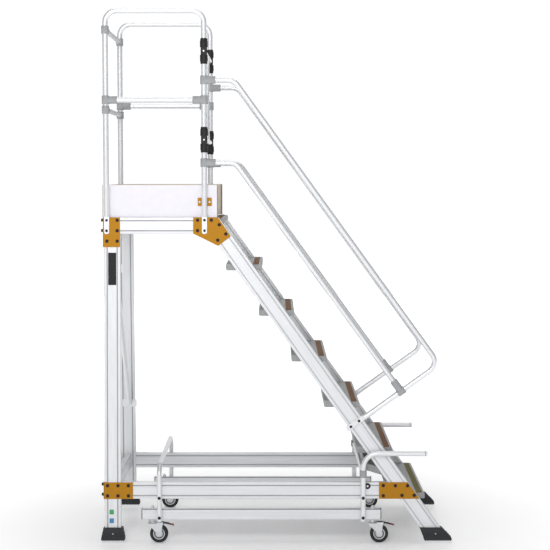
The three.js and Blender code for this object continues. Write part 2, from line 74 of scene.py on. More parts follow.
# Two shades mixed by a fine grain, a slow drift of roughness, and a shallow bump.
# grain is in cells per metre: 90 is 11 mm, 120 is 8 mm and 300 is 3 mm. Real die lines,
# lacquer orange peel and moulded grain are finer, so all are drawn as coarse as shows.
def surface(
    name, low, high, metallic, roughness, grain, stretch=(1, 1, 1), bump=0.0006, turn=0.0
):
    material = bpy.data.materials.new(name)
    material.use_nodes = True
    tree = material.node_tree
    shader = tree.nodes["Principled BSDF"]
    place = addNode(tree, "ShaderNodeTexCoord").outputs["Object"]
    turned = addNode(
        tree, "ShaderNodeMapping", {"Vector": place, "Rotation": (0, turn, 0)},
    ).outputs["Vector"]
    scaled = addNode(tree, "ShaderNodeMapping", {"Vector": turned, "Scale": stretch}).outputs["Vector"]
    fine = addNode(tree, "ShaderNodeTexNoise", {"Vector": scaled, "Scale": grain, "Detail": 5.0})
    slow = addNode(tree, "ShaderNodeTexNoise", {"Vector": place, "Scale": 3.5, "Detail": 3.0})
    tree.links.new(ramp(tree, fine.outputs["Fac"], rgb(low), rgb(high)), shader.inputs["Base Color"])
    spread = addNode(
        tree,
        "ShaderNodeMapRange",
        {"Value": slow.outputs["Fac"], "To Min": roughness[0], "To Max": roughness[1]},
    )
    tree.links.new(spread.outputs["Result"], shader.inputs["Roughness"])
    lift = addNode(
        tree,
        "ShaderNodeBump",
        {"Height": fine.outputs["Fac"], "Distance": bump, "Strength": 0.35},
    )
    tree.links.new(lift.outputs["Normal"], shader.inputs["Normal"])
    shader.inputs["Metallic"].default_value = metallic
    return material


# Mill-finish extruded aluminium: pale satin silver, its die lines running along the bar.
satin = ("#e0e1e4", "#e9eaec", 0.4, (0.36, 0.44), 90)
stileMetal = surface("stileMetal", *satin, (1, 1, 0.04))
railMetal = surface("railMetal", *satin, (0.04, 1, 1))
stairTurn = math.atan2(stairs["run"], stairs["rise"])
stairMetal = surface("stairMetal", *satin, (1, 1, 0.04), bump=0.0001, turn=stairTurn)
# Painted shade: the same aluminium coloured darker for strips down in the grooves and along the top of the
# carriers, where little light gets.
grooveShade = surface("grooveShade", "#a0a1a5", "#abacb0", 0.2, (0.5, 0.6), 90)
stairGrooveShade = surface("stairGrooveShade", "#bbbcbf", "#c6c7ca", 0.2, (0.5, 0.6), 90)
edgeShade = surface("edgeShade", "#5c5d60", "#68696c", 0.1, (0.5, 0.6), 90)
# Anodised aluminium tube: smoother and brighter, with a soft streak of light.
tubeMetal = surface("tubeMetal", "#e6e7e9", "#ebecee", 0.42, (0.3, 0.36), 120, bump=0.0001)
# The two rear rails: the same aluminium tube, duller and coloured a darker grey as painted shade.
shadedRearTube = surface("shadedRearTube", "#b2b3b5", "#bebfc1", 0.2, (0.4, 0.5), 120)
# Die-cast pipe fittings, painted matt grey.
castGrey = surface("castGrey", "#9c9d9f", "#a9aaab", 0.0, (0.6, 0.75), 260)
# Ribbed aluminium plank, dulled by use, its ribs running across the stair.
treadMetal = surface("treadMetal", "#909191", "#a2a3a3", 0.5, (0.4, 0.55), 90, (1, 0.05, 1), bump=0.0002)
# Painted reflection: brown strips on the treads, olive on the lowest, coloured like the brownish
# reflections on the tread noses.
treadTop = surface("treadTop", "#653c12", "#81531d", 0.2, (0.55, 0.7), 300, (1, 0.3, 1))
treadOliveReflection = surface("treadOliveReflection", "#5f5718", "#7c7230", 0.2, (0.55, 0.7), 300, (1, 0.3, 1))
# Steel plate in golden lacquer: warm and even, with a broad dull shine.
goldLacquer = surface("goldLacquer", "#ae7607", "#b8820d", 0.5, (0.5, 0.6), 220, bump=0.0003)
# Blacked steel screw heads on dark bronze washers.
screwBlack = surface("screwBlack", "#060606", "#0d0d0e", 0.0, (0.6, 0.75), 300)
screwRing = surface("screwRing", "#6f4519", "#805323", 0.4, (0.3, 0.45), 300)
# Moulded black nylon of the gate clamps, pedals and end caps.
clampPlastic = surface("clampPlastic", "#0b0c0d", "#131416", 0.0, (0.5, 0.65), 240)
# Moulded rubber: charcoal feet with a rough skin, and near-black tyres.
footRubber = surface("footRubber", "#232426", "#303134", 0.0, (0.6, 0.75), 320, bump=0.001)
tyreRubber = surface("tyreRubber", "#151618", "#1f2022", 0.0, (0.55, 0.7), 320, bump=0.001)
# Moulded grey polypropylene hubs and soles, and the red pedal tips.
hubPlastic = surface("hubPlastic", "#c3c5c8", "#d2d4d6", 0.1, (0.4, 0.5), 240)
redPlastic = surface("redPlastic", "#8d2f22", "#a43c2c", 0.0, (0.4, 0.5), 240)
# Bright zinc plating on pressed steel: the shiniest metal here.
zincSteel = surface("zincSteel", "#d0d2d5", "#e2e4e6", 0.55, (0.25, 0.4), 180)
# Board with a white melamine face, a cream face inside whose darker beige is partly its own colour and
# partly painted shade, and bare brown ends.
boardWhite = surface("boardWhite", "#edebf2", "#f1eff5", 0.0, (0.4, 0.5), 30, bump=0.0001)
boardEdge = surface("boardEdge", "#8a7a63", "#a08f76", 0.0, (0.55, 0.7), 200)
boardTrim = surface("boardTrim", "#cfc6b4", "#ddd5c5", 0.1, (0.45, 0.6), 200)
# Blank vinyl labels.
labelBlack = surface("labelBlack", "#0a0a0b", "#101112", 0.0, (0.6, 0.7), 100)
labelGreen = surface("labelGreen", "#3f9a5b", "#4ba768", 0.0, (0.35, 0.45), 100)
labelBlue = surface("labelBlue", "#3c7fb4", "#4a8cc0", 0.0, (0.35, 0.45), 100)
# Pale studio floor with painted light: an added glow that grows away from the stand, leaving painted shade
# near it, so it fades to white away from the stand.
floorPaintAndGlow = surface("floorPaintAndGlow", "#f7f7f8", "#fafafa", 0.0, (0.5, 0.6), 8)
floorTree = floorPaintAndGlow.node_tree
floorShader = floorTree.nodes["Principled BSDF"]
fromMiddle = addNode(
    floorTree,
    "ShaderNodeVectorMath",
    {"Vector": addNode(floorTree, "ShaderNodeTexCoord").outputs["Object"]},
    operation="LENGTH",
)
glowBands = [(0.5, 2.1, 0.13, 0.5), (2.1, 7.0, 0, 0.42)]  # from, to (m), and added glow there
bandGlow = [
    addNode(
        floorTree,
        "ShaderNodeMapRange",
        {"Value": fromMiddle.outputs["Value"], "From Min": a, "From Max": b, "To Min": c, "To Max": d},
    ).outputs["Result"]
    for a, b, c, d in glowBands
]
total = addNode(floorTree, "ShaderNodeMath", dict(enumerate(bandGlow)), operation="ADD")
floorTree.links.new(total.outputs["Value"], floorShader.inputs["Emission Strength"])
floorShader.inputs["Emission Color"].default_value = rgb("#ffffff")
print("materials made")


# Mesh helpers: each shapes new geometry in a bmesh and returns its vertices.
def bentPath(corners, bendRadius, bendSteps):
    points = [Vector(c) for c in corners]
    places = [points[0]]
    headings = [(points[1] - points[0]).normalized()]
    for i in range(1, len(points) - 1):
        a = (points[i] - points[i - 1]).normalized()
        b = (points[i + 1] - points[i]).normalized()
        turn = a.angle(b)
        aside = (b - a * a.dot(b)).normalized()
        start = points[i] - a * bendRadius * math.tan(turn / 2)
        for k in range(bendSteps + 1):
            phi = turn * k / bendSteps
            arc = a * math.sin(phi) + aside * (1 - math.cos(phi))
            places.append(start + arc * bendRadius)
            headings.append(a * math.cos(phi) + aside * math.sin(phi))
    places.append(points[-1])
    headings.append((points[-1] - points[-2]).normalized())
    return places, headings


def extrudeEnd(bm, face):
    made = bmesh.ops.extrude_face_region(bm, geom=[face, *face.edges, *face.verts])["geom"]
    moved = [g for g in made if isinstance(g, bmesh.types.BMVert)]
    return moved, next(g for g in made if isinstance(g, bmesh.types.BMFace))


# A round end face, its first vertex on the normal.
def discAt(bm, place, heading, normal, radius, sides):
    turn = Matrix((normal.cross(heading), normal, heading)).transposed().to_4x4()
    matrix = Matrix.Translation(place) @ turn
    verts = bmesh.ops.create_circle(
        bm, cap_ends=True, segments=sides, radius=radius, matrix=matrix,
    )["verts"]
    return verts, verts[0].link_faces[0]


# A round bar along a path with bent corners.
def sweep(bm, corners, radius, bendRadius=1.0, sides=32, bendSteps=12):
    places, headings = bentPath(corners, bendRadius, bendSteps)
    normal = headings[0].orthogonal().normalized()
    verts, end = discAt(bm, places[0], headings[0], normal, radius, sides)
    for i in range(1, len(places)):
        moved, end = extrudeEnd(bm, end)
        turn = headings[i - 1].rotation_difference(headings[i]).to_matrix()
        bmesh.ops.rotate(bm, cent=places[i - 1], matrix=turn, verts=moved)
        bmesh.ops.translate(bm, vec=places[i] - places[i - 1], verts=moved)
        verts = [*verts, *moved]
    return verts


# A turned piece: its profile lists places along the axis with the radius there.
def lathe(bm, centre, axis, profile, sides=32):
    heading = Vector(axis).normalized()
    at, radius = profile[0]
    place = Vector(centre) + heading * at
    verts, end = discAt(bm, place, heading, heading.orthogonal().normalized(), radius, sides)
    for nextAt, nextRadius in profile[1:]:
        moved, end = extrudeEnd(bm, end)
        grow = nextRadius / radius
        bmesh.ops.scale(bm, vec=(grow,) * 3, space=Matrix.Translation(-place), verts=moved)
        step = heading * (nextAt - at)
        bmesh.ops.translate(bm, vec=step, verts=moved)
        place, at, radius = place + step, nextAt, nextRadius
        verts = [*verts, *moved]
    return verts


# A short round piece with chamfered ends, centred on its place.
def sleeve(bm, centre, axis, length, radius, chamfer=1.5, sides=32):
    h = length / 2
    profile = [(-h, radius - chamfer), (-h + chamfer, radius), (h - chamfer, radius), (h, radius - chamfer)]
    return lathe(bm, centre, axis, profile, sides)


# An outline in x and z, given a width in y.
def prism(bm, outline, y0, y1):
    verts = [bm.verts.new((x, y0, z)) for x, z in outline]
    moved = extrudeEnd(bm, bm.faces.new(verts))[0]
    bmesh.ops.translate(bm, vec=(0, y1 - y0, 0), verts=moved)
    return [*verts, *moved]


def block(bm, x0, x1, y0, y1, z0, z1):
    middle = Matrix.Translation(Vector((x0 + x1, y0 + y1, z0 + z1)) / 2)
    size = Matrix.Diagonal((x1 - x0, y1 - y0, z1 - z0, 1))
    return bmesh.ops.create_cube(bm, size=1, matrix=middle @ size)["verts"]


# A section extruded along its heading, with both ends cut by a plane.
def extrudeBetween(bm, section, placeOf, heading, cutA, cutB):
    verts = [bm.verts.new(placeOf(u, v)) for u, v in section]
    moved = extrudeEnd(bm, bm.faces.new(verts))[0]
    for ring, (point, normal) in ((verts, cutA), (moved, cutB)):
        for vert in ring:
            away = (Vector(point) - vert.co).dot(Vector(normal))
            vert.co += heading * (away / heading.dot(Vector(normal)))
    return [*verts, *moved]


def build(name, body, material, make, bevel=0.0, replaces=(), sharp=32):
    bm = bmesh.new()
    make(bm)
    bmesh.ops.scale(bm, vec=(scale,) * 3, verts=bm.verts)
    bmesh.ops.recalc_face_normals(bm, faces=bm.faces)
    for face in bm.faces:
        face.smooth = True
    limit = math.radians(sharp)
    for edge in bm.edges:
        edge.smooth = edge.calc_face_angle(0) < limit
    mesh = bpy.data.meshes.new(name)
    bm.to_mesh(mesh)
    bm.free()
    mesh.materials.append(material)
    piece = bpy.data.objects.new(name, mesh)
    bpy.context.scene.collection.objects.link(piece)
    if bevel:
        rounding = piece.modifiers.new("rounding", "BEVEL")
        rounding.width = bevel * scale
        rounding.segments = 2
        rounding.limit_method = "ANGLE"
        rounding.angle_limit = math.radians(38)
        rounding.harden_normals = True
    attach(piece, body)
    if replaces:
        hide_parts(*replaces)
    return piece


# The leaning side frames.
frames = {
    "deckTop": 1775,
    "lean": math.tan(math.radians(3)),
    "halfWidth": 366.7,
    "thick": 30,
    "depth": 90,
    "grooveInset": 17.5,
    "bottom": 38,
    "legRear": -939,
    "beam": (1690, 1780),
    "rail": (245, 335),
    "slope": stairs["run"] / stairs["rise"],
    "frontAtFloor": 958.7,
}
stairAngle = math.atan2(stairs["rise"], stairs["run"])
stringerWidth = frames["depth"] / math.sin(stairAngle)
legFront = frames["legRear"] + frames["depth"]


def stairFront(z):
    return frames["frontAtFloor"] - frames["slope"] * z


def stairRear(z):
    return stairFront(z) - stringerWidth


def outerFace(z):
    return frames["halfWidth"] + frames["lean"] * (frames["deckTop"] - z)


def leanOut(verts, side):
    for v in verts:
        v.co.y += side * frames["lean"] * (frames["deckTop"] - v.co.z)


# Y of a layer some depth in from the outer face, before leaning.
def depthY(side, depth):
    return side * (frames["halfWidth"] - depth)


def layerYs(side, depthA, depthB):
    return sorted([depthY(side, depthA), depthY(side, depthB)])


def roundedSection():
    d, t, r = frames["depth"] / 2, frames["thick"] / 2, 3.0
    groove = d - frames["grooveInset"]
    corners = [
        (-d + r, t - r, 90, 180),
        (-d + r, -t + r, 180, 270),
        (d - r, -t + r, 270, 360),
        (d - r, t - r, 0, 90),
    ]
    arcs = []
    for cu, cv, a0, a1 in corners:
        turns = [math.radians(a0 + (a1 - a0) * k / 4) for k in range(5)]
        arcs.append([(cu + r * math.cos(a), cv + r * math.sin(a)) for a in turns])

    def notch(at, way):
        w, deep = 3.6, 2.2
        return [
            (at - w, way * t),
            (at - w + 0.8, way * (t - deep)),
            (at + w - 0.8, way * (t - deep)),
            (at + w, way * t),
        ]

    low = [*notch(-groove, -1), *notch(groove, -1)]
    high = [p for at in (groove, -groove) for p in reversed(notch(at, 1))]
    return [*arcs[0], *arcs[1], *low, *arcs[2], *arcs[3], *high]


section = roundedSection()
up = Vector((0, 0, 1))
along = Vector((1, 0, 0))


def flat(x, z, normal):
    return ((x, 0, z), normal)


# The mitre between the platform beam and the stringer, and the butt of rail on stringer.
mitreRun = stairFront(frames["beam"][1]) - stairRear(frames["beam"][0])
mitreNormal = (frames["depth"], 0, -mitreRun)
stairNormal = (stairs["rise"], 0, stairs["run"])
mitreAt = (stairRear(frames["beam"][0]), frames["beam"][0])
middleY = frames["halfWidth"] - frames["thick"] / 2


# Strips of shade lying in the grooves of both faces, as sections like the bar's own.
def grooveSections():
    t, at = frames["thick"] / 2, frames["depth"] / 2 - frames["grooveInset"]
    strips = []
    for u in (-at, at):
        for way in (-1, 1):
            a, b = sorted([way * (t - 1.7), way * (t - 3)])
            strips.append([(u - 2.7, a), (u + 2.7, a), (u + 2.7, b), (u - 2.7, b)])
    return strips


def makeLeg(side, outline=section):
    def make(bm):
        centre = frames["legRear"] + frames["depth"] / 2
        verts = extrudeBetween(
            bm,
            outline,
            lambda u, v: Vector((centre + u, side * (middleY + v), 0)),
            up,
            flat(0, frames["bottom"], up),
            flat(0, frames["beam"][0] - 0.3, up),
        )
        leanOut(verts, side)

    return make


def makeBeam(side, outline=section):
    def make(bm):
        centre = sum(frames["beam"]) / 2
        verts = extrudeBetween(
            bm,
            outline,
            lambda u, v: Vector((0, side * (middleY + v), centre + u)),
            along,
            flat(frames["legRear"], 0, along),
            flat(mitreAt[0] - 0.6, mitreAt[1], mitreNormal),
        )
        leanOut(verts, side)

    return make


def makeRail(side, outline=section):
    def make(bm):
        low = frames["rail"][0]
        verts = extrudeBetween(
            bm,
            outline,
            lambda u, v: Vector((0, side * (middleY + v), low + frames["depth"] / 2 + u)),
            along,
            flat(legFront + 0.3, 0, along),
            flat(stairRear(low) - 0.6, low, stairNormal),
        )
        leanOut(verts, side)

    return make


def makeStringer(side, outline=section):
    def make(bm):
        heading = Vector((-stairs["run"], 0, stairs["rise"])).normalized()
        across = Vector(stairNormal).normalized()
        origin = Vector((frames["frontAtFloor"] - stringerWidth / 2, 0, 0))
        verts = extrudeBetween(
            bm,
            outline,
            lambda u, v: origin + across * u + Vector((0, side * (middleY + v), 0)),
            heading,
            flat(0, frames["bottom"], up),
            flat(*mitreAt, mitreNormal),
        )
        leanOut(verts, side)

    return make


def makeGrooveShades(maker, side):
    def make(bm):
        for outline in grooveSections():
            maker(side, outline)(bm)

    return make


members = {
    "RearLeg": ("rear_leg", makeLeg, stileMetal),
    "PlatformBeam": ("platform_beam", makeBeam, railMetal),
    "BaseRail": ("base_rail", makeRail, railMetal),
    "Stringer": ("stringer", makeStringer, stairMetal),
}
for side, hand in hands.items():
    for title, (node, maker, metal) in members.items():
        build(
            f"{hand}{title}", "frame", metal, maker(side), replaces=[f"{hand}_{node}"],
        )
        # The groove strips are painted shade, lighter on the stringers.
        shade = stairGrooveShade if title == "Stringer" else grooveShade
        build(f"{hand}{title}GrooveShades", "frame", shade, makeGrooveShades(maker, side))
print("side frames made")


# Gusset plates and screws.
plates = {
    "gap": 0.3,
    "thick": 4,
    "washer": (10.0, 1.2),  # radius and rise
    "screw": (8.2, 3.4),
    "rearRise": 3.9,  # how much taller the rear screws stand
    "rearInset": 22,
    "wrapInset": 56,
}
plateFace = plates["gap"] + plates["thick"]


def grid(xs, zs):
    return [(x, z) for x in xs for z in zs]


plateOutlines = {
    "rear_top_plate": (
        [(-943.3, 1619), (-851, 1619), (-851, 1780), (-943.3, 1780)],
        [*grid([-866], [1765, 1708, 1651]), (-922, 1651)],
    ),
    "rear_base_plate": (
        [(-943.3, 245), (-783, 245), (-783, 335), (-943.3, 335)],
        grid([-922, -865, -808], [262, 318]),
    ),
    "front_top_plate": (
        [(-452, 1780), (-452, 1692), (-316, 1625), (-247, 1677), (stairFront(1780) - 4, 1780)],
        [*grid([-428], [1765, 1708]), (-353, 1765), (-310, 1740), (-274, 1690), (-318, 1656)],
    ),
    "front_base_plate": (
        [(561, 245), (stairFront(245) - 2, 245), (stairFront(335) - 2, 335), (561, 335)],
        [(584, 318), (650, 317), (717, 317), (584, 262), (686, 264), (753, 264)],
    ),
}
wrapped = {"rear_top_plate": (1619, 1780, 1765, 1708), "rear_base_plate": (245, 335, 322, 266)}


def makePlate(side, outline, wrap):
    def make(bm):
        ys = layerYs(side, -plateFace, -plates["gap"])
        verts = prism(bm, outline, *ys)
        if wrap:
            back = frames["legRear"] - plates["gap"]
            ys = layerYs(side, -plateFace, plates["wrapInset"])
            verts += block(bm, back - plates["thick"], back, *ys, *wrap[:2])
        leanOut(verts, side)

    return make


def headProfile(radius, rise):
    return [(0, radius), (rise - 0.7, radius), (rise, radius - 0.9)]


# Screw heads or their washers, with the taller ones round on the rear face.
def makeScrews(side, places, size, wrap):
    radius, rise = size

    def make(bm):
        verts = []
        face = depthY(side, -plateFace)
        for x, z in places:
            at = (x, face - side * 0.3, z)
            verts += lathe(bm, at, (0, side, 0), headProfile(radius, rise), 24)
        if wrap:
            back = frames["legRear"] - plateFace
            tall = rise * plates["rearRise"]
            for z in wrap[2:]:
                at = (back + 0.3, depthY(side, plates["rearInset"]), z)
                verts += lathe(bm, at, (-1, 0, 0), headProfile(radius, tall), 24)
        leanOut(verts, side)

    return make


for side, hand in hands.items():
    for key, (outline, places) in plateOutlines.items():
        wrap = wrapped.get(key)
        title = "".join(word.capitalize() for word in key.split("_"))
        build(
            f"{hand}{title}",
            "frame",
            goldLacquer,
            makePlate(side, outline, wrap),
            bevel=0.9,
            replaces=[f"{hand}_{key}"],
        )
        for ending, material in (("Washers", screwRing), ("Screws", screwBlack)):
            size = plates[ending[:-1].lower()]
            build(
                f"{hand}{title}{ending}",
                "frame",
                material,
                makeScrews(side, places, size, wrap),
            )
print("plates made")


# Rubber feet.
feet = {
    "low": 20,
    "teeth": 13,
    "rear": [(-958, 20), (-828, 20), (-829, 30), (-840, 88), (-945, 88), (-957, 30)],
    "front": [(807, 20), (958, 20), (957, 30), (904, 88), (782, 88), (806, 30)],
}


def makeFoot(side, outline):
    def make(bm):
        ys = layerYs(side, -10, frames["thick"] + 10)
        verts = prism(bm, outline, *ys)
        for z in (34, 44, 54):
            ratio = (z - 30) / 58
            x0 = outline[-1][0] + (outline[-2][0] - outline[-1][0]) * ratio
            x1 = outline[2][0] + (outline[3][0] - outline[2][0]) * ratio
            ys = layerYs(side, -11.4, frames["thick"] + 11.4)
            verts += block(bm, x0 - 1.2, x1 + 1.2, *ys, z, z + 4)
        low, count = feet["low"], feet["teeth"]
        x0, x1 = outline[0][0] + 3, outline[1][0] - 3
        step = (x1 - x0) / count
        ys = layerYs(side, -11.6, frames["thick"] + 11.6)
        for i in range(count):
            x = x0 + (i + 0.2) * step
            verts += block(bm, x, x + step * 0.6, *ys, low - 4, low + 2)
        leanOut(verts, side)

    return make


# The pale sole behind the dark teeth.
def makeSole(side, outline):
    def make(bm):
        ys = layerYs(side, -11.2, frames["thick"] + 11.2)
        leanOut(
            block(bm, outline[0][0] + 3, outline[1][0] - 3, *ys, feet["low"] - 4.5, feet["low"] - 0.3),
            side,
        )

    return make


def makeFootStud(side, outline):
    def make(bm):
        x = sum(p[0] for p in outline) / len(outline)
        verts = lathe(bm, (x, depthY(side, -10), 56), (0, side, 0), [(0, 3.6), (2, 3.6), (3, 2.4)], 20)
        leanOut(verts, side)

    return make


for side, hand in hands.items():
    build(f"{hand}RearSole", "frame", hubPlastic, makeSole(side, feet["rear"]))
    build(f"{hand}FrontSole", "frame", hubPlastic, makeSole(side, feet["front"]))
    build(f"{hand}RearFootStud", "frame", zincSteel, makeFootStud(side, feet["rear"]))
    build(f"{hand}FrontFootStud", "frame", zincSteel, makeFootStud(side, feet["front"]))
    build(
        f"{hand}RearFoot",
        "frame",
        footRubber,
        makeFoot(side, feet["rear"]),
        bevel=2.0,
        replaces=[f"{hand}_rear_foot"],
    )
    build(
        f"{hand}FrontFoot",
        "frame",
        footRubber,
        makeFoot(side, feet["front"]),
        bevel=2.0,
        replaces=[f"{hand}_front_foot"],
    )
print("feet made")


# Cross members, deck and treads.
def insideAt(z):
    return outerFace(z) - frames["thick"] - 0.5


def crossBar(bm, half, x, z):
    return extrudeBetween(
        bm,
        section,
        lambda u, v: Vector((x + v, 0, z + u)),
        Vector((0, 1, 0)),
        ((0, -half, 0), (0, 1, 0)),
        ((0, half, 0), (0, 1, 0)),
    )


build(
    "rearTopBeam", "frame", stileMetal,
    lambda bm: crossBar(bm, insideAt(1780), -924, 1735), replaces=["rear_top_beam"],
)
build(
    "rearBaseBeam", "frame", stileMetal,
    lambda bm: crossBar(bm, insideAt(335), -893, 290), replaces=["rear_base_beam"],
)

brace = {"x": -881, "high": 1500, "low": 643, "radius": 14}


def makeBrace(bm):
    ends = [(-1, brace["high"]), (1, brace["low"])]
    corners = [(brace["x"], side * (outerFace(z) - frames["thick"] - 9), z) for side, z in ends]
    sweep(bm, corners, brace["radius"])
    for side, z in ends:
        ys = layerYs(side, frames["thick"] + 0.3, frames["thick"] + 4.3)
        leanOut(block(bm, brace["x"] - 42, brace["x"] + 42, *ys, z - 22, z + 22), side)


build(
    "rearDiagonalBrace",
    "frame",
    tubeMetal,
    makeBrace,
    bevel=0.8,
    replaces=["rear_diagonal_brace"],
)

tread = {"depth": 195, "thick": 35, "rear": -274.6, "count": 6}


# A closed box plank: round nose, rounded heel, and shallow ribs along the top.
def plankSection(depth, thick):
    def arc(cx, cz, r, a0, a1):
        turns = [math.radians(a0 + (a1 - a0) * k / 6) for k in range(7)]
        return [(cx + r * math.cos(a), cz + r * math.sin(a)) for a in turns]

    heel = arc(5, -5, 5, 180, 90)
    reflectionStrip = depth - 47
    ribs = [(14, 0)]
    count = max(2, int((reflectionStrip - 14) / 11))
    step = (reflectionStrip - 14) / count
    for i in range(count):
        x = 14 + i * step
        ribs += [(x, -1.6), (x + step * 0.4, -1.6), (x + step * 0.45, 0), (x + step, 0)]
    seat = [(reflectionStrip, -3.2), (depth - 15, -3.2), (depth - 15, 0)]
    nose = arc(depth - 10, -10, 10, 80, 0)
    under = [*arc(depth - 5, 5 - thick, 5, 0, -90), *arc(9, 9 - thick, 9, 270, 180)]
    return [*heel, *ribs, *seat, *nose, *under]


# The strip let into the top just behind the nose; its brown is a painted reflection.
def reflectionStripSection(depth):
    start, end = depth - 46.7, depth - 15.3
    outline = [(start, -3.0)]
    step = (end - start) / 6
    for i in range(6):
        x = start + i * step
        outline += [
            (x + step * 0.1, 0.3), (x + step * 0.6, 0.3), (x + step * 0.7, -1.4), (x + step * 0.98, -1.4),
        ]
    return [*outline, (end, -3.0)]


def placed(outline, x, z, turn=0.0):
    c, s = math.cos(turn), math.sin(turn)
    return [(x + u * c + v * s, z - u * s + v * c) for u, v in outline]


def makePlank(name, node, depth, thick, half, x, z, turn=0.0, top=treadTop):
    body = placed(plankSection(depth, thick), x, z, turn)
    reflectionStrip = placed(reflectionStripSection(depth), x, z, turn)
    build(name, "frame", treadMetal, lambda bm: prism(bm, body, -half, half), replaces=[node])
    build(f"{name}ReflectionStrip", "frame", top, lambda bm: prism(bm, reflectionStrip, -half + 0.5, half - 0.5))


for i in range(tread["count"]):
    high = frames["deckTop"] - stairs["rise"] * (i + 1)
    rear = tread["rear"] + stairs["run"] * i
    reflectionStrip = treadOliveReflection if i == tread["count"] - 1 else treadTop
    makePlank(
        f"tread{i + 1}",
        f"tread_{i + 1}",
        tread["depth"],
        tread["thick"],
        insideAt(high),
        rear,
        high,
        top=reflectionStrip,
    )
makePlank("platformDeck", "platform_deck", 623.7, 32, insideAt(1775), -908.7, 1775)
makePlank("frontTiePlank", "front_tie_plank", 142, 38, insideAt(430), 487, 435.6, math.radians(17))
print("cross members and treads made")

# Toe board.
toe = {"outer": 355, "thick": 16, "liner": 4, "low": 1780.3, "high": 1957, "rear": -947, "front": -319}


# A white outer layer over a beige liner, partly painted shade, each closed by a brown edge strip.
def makeToeLayer(outer, inner, front):
    def make(bm):
        back = toe["rear"] + toe["outer"] - outer
        for side in hands:
            a, b = sorted([side * outer, side * inner])
            block(bm, back + 1, front, a, b, toe["low"], toe["high"] - 1.2)
        block(bm, back, back + outer - inner, -inner, inner, toe["low"], toe["high"] - 1.2)

    return make


def makeToeEdge(bm):
    outer, inner = toe["outer"], toe["outer"] - toe["thick"]
    for side in hands:
        a, b = sorted([side * (outer - 0.3), side * inner])
        block(bm, toe["front"] - 4, toe["front"], a, b, toe["low"], toe["high"] - 1.2)
        a, b = sorted([side * inner, side * (inner - 1)])
        block(bm, toe["front"] - 9, toe["front"] - 3, a, b, toe["low"], toe["high"] - 2)
        a, b = sorted([side * (outer + 0.5), side * (outer - 14)])
        block(bm, toe["rear"] - 0.5, toe["rear"] + 1, a, b, toe["low"], toe["high"])


def makeToeTop(bm):
    outer, inner = toe["outer"], toe["outer"] - toe["thick"]
    for side in hands:
        a, b = sorted([side * (outer - 0.3), side * inner])
        block(bm, toe["rear"] + 1.2, toe["front"], a, b, toe["high"] - 1.2, toe["high"])


middle = toe["outer"] - toe["thick"] + toe["liner"]
build(
    "toeBoard",
    "frame",
    boardWhite,
    makeToeLayer(toe["outer"], middle, toe["front"] - 4),
    bevel=0.4,
    replaces=["toe_board"],
)
build(
    "toeBoardLiner",
    "frame",
    boardTrim,
    makeToeLayer(middle, middle - toe["liner"], toe["front"] - 4),
)
build("toeBoardEdges", "frame", boardEdge, makeToeEdge)
build("toeBoardTops", "frame", boardTrim, makeToeTop)

# Guardrail, rear rails, handrails.
guard = {
    "rearX": -923,
    "frontX": -390,
    "y": 376,
    "radius": 15,
    "bend": 65,
    "top": 2895,
    "middle": 2416,
    "rearRails": (2792, 2363),
    "sleeve": 20.5,
    "bottom": 1786,
    "fitting": 46,
    "reach": 74,
    "tongueGap": 4.6,
    "tongueThick": 7,
    "tongueTop": 1800,
    "screwLevels": (1765, 1708),
}


tongueFace = guard["tongueGap"] + guard["tongueThick"]


# Each post ends in a flattened tongue with a rounded tip, screwed on over the plate.
def makeGuardTubes(side):
    def make(bm):
        y = side * guard["y"]
        corners = [
            (guard["frontX"], y, guard["bottom"]),
            (guard["frontX"], y, guard["top"]),
            (guard["rearX"], y, guard["top"]),
            (guard["rearX"], y, guard["bottom"]),
        ]
        sweep(bm, corners, guard["radius"], guard["bend"])
        sweep(
            bm,
            [(guard["rearX"], y, guard["middle"]), (guard["frontX"], y, guard["middle"])],
            guard["radius"],
        )
        for x in (guard["rearX"], guard["frontX"]):
            ys = layerYs(side, -tongueFace, -guard["tongueGap"])
            low, high = frames["beam"][0], guard["tongueTop"]
            half = [(14, high), (14, low + 9), (11, low + 3), (6, low)]
            outline = [(x - u, z) for u, z in half] + [(x + u, z) for u, z in reversed(half)]
            leanOut(prism(bm, outline, *ys), side)

    return make


# A cast fitting: a socket round the post and one for the tube that meets it.
def makeFitting(bm, x, y, z, way):
    length = guard["reach"]
    sleeve(bm, (x, y, z), (0, 0, 1), guard["fitting"], guard["sleeve"])
    sleeve(bm, (x + way * (length / 2 - 12), y, z), (1, 0, 0), length, guard["sleeve"])


def makeGuardFittings(side):
    def make(bm):
        y = side * guard["y"]
        makeFitting(bm, guard["rearX"], y, guard["middle"], 1)
        makeFitting(bm, guard["frontX"], y, guard["middle"], -1)

    return make


def makePostScrews(side):
    def make(bm):
        face = depthY(side, -tongueFace)
        verts = []
        for x, z in grid([guard["rearX"], guard["frontX"]], guard["screwLevels"]):
            verts += lathe(bm, (x, face, z), (0, side, 0), [(0, 7.2), (2.6, 7.2), (3.4, 5.8)], 24)
        leanOut(verts, side)

    return make


for side, hand in hands.items():
    build(
        f"{hand}Guardrail",
        "frame",
        tubeMetal,
        makeGuardTubes(side),
        bevel=0.8,
        replaces=[f"{hand}_guardrail"],
        sharp=40,
    )
    build(f"{hand}GuardrailFittings", "frame", castGrey, makeGuardFittings(side), sharp=60)
    build(f"{hand}PostScrews", "frame", screwBlack, makePostScrews(side))


def makeRearRail(z):
    def make(bm):
        sweep(bm, [(guard["rearX"], -guard["y"], z), (guard["rearX"], guard["y"], z)], guard["radius"] - 2)

    return make


def makeRearFittings(z):
    def make(bm):
        for side in hands:
            sleeve(bm, (guard["rearX"], side * guard["y"], z), (0, 0, 1), 43, guard["sleeve"])
            sleeve(bm, (guard["rearX"], side * (guard["y"] - 28), z), (0, 1, 0), 56, guard["sleeve"] - 1.5)

    return make


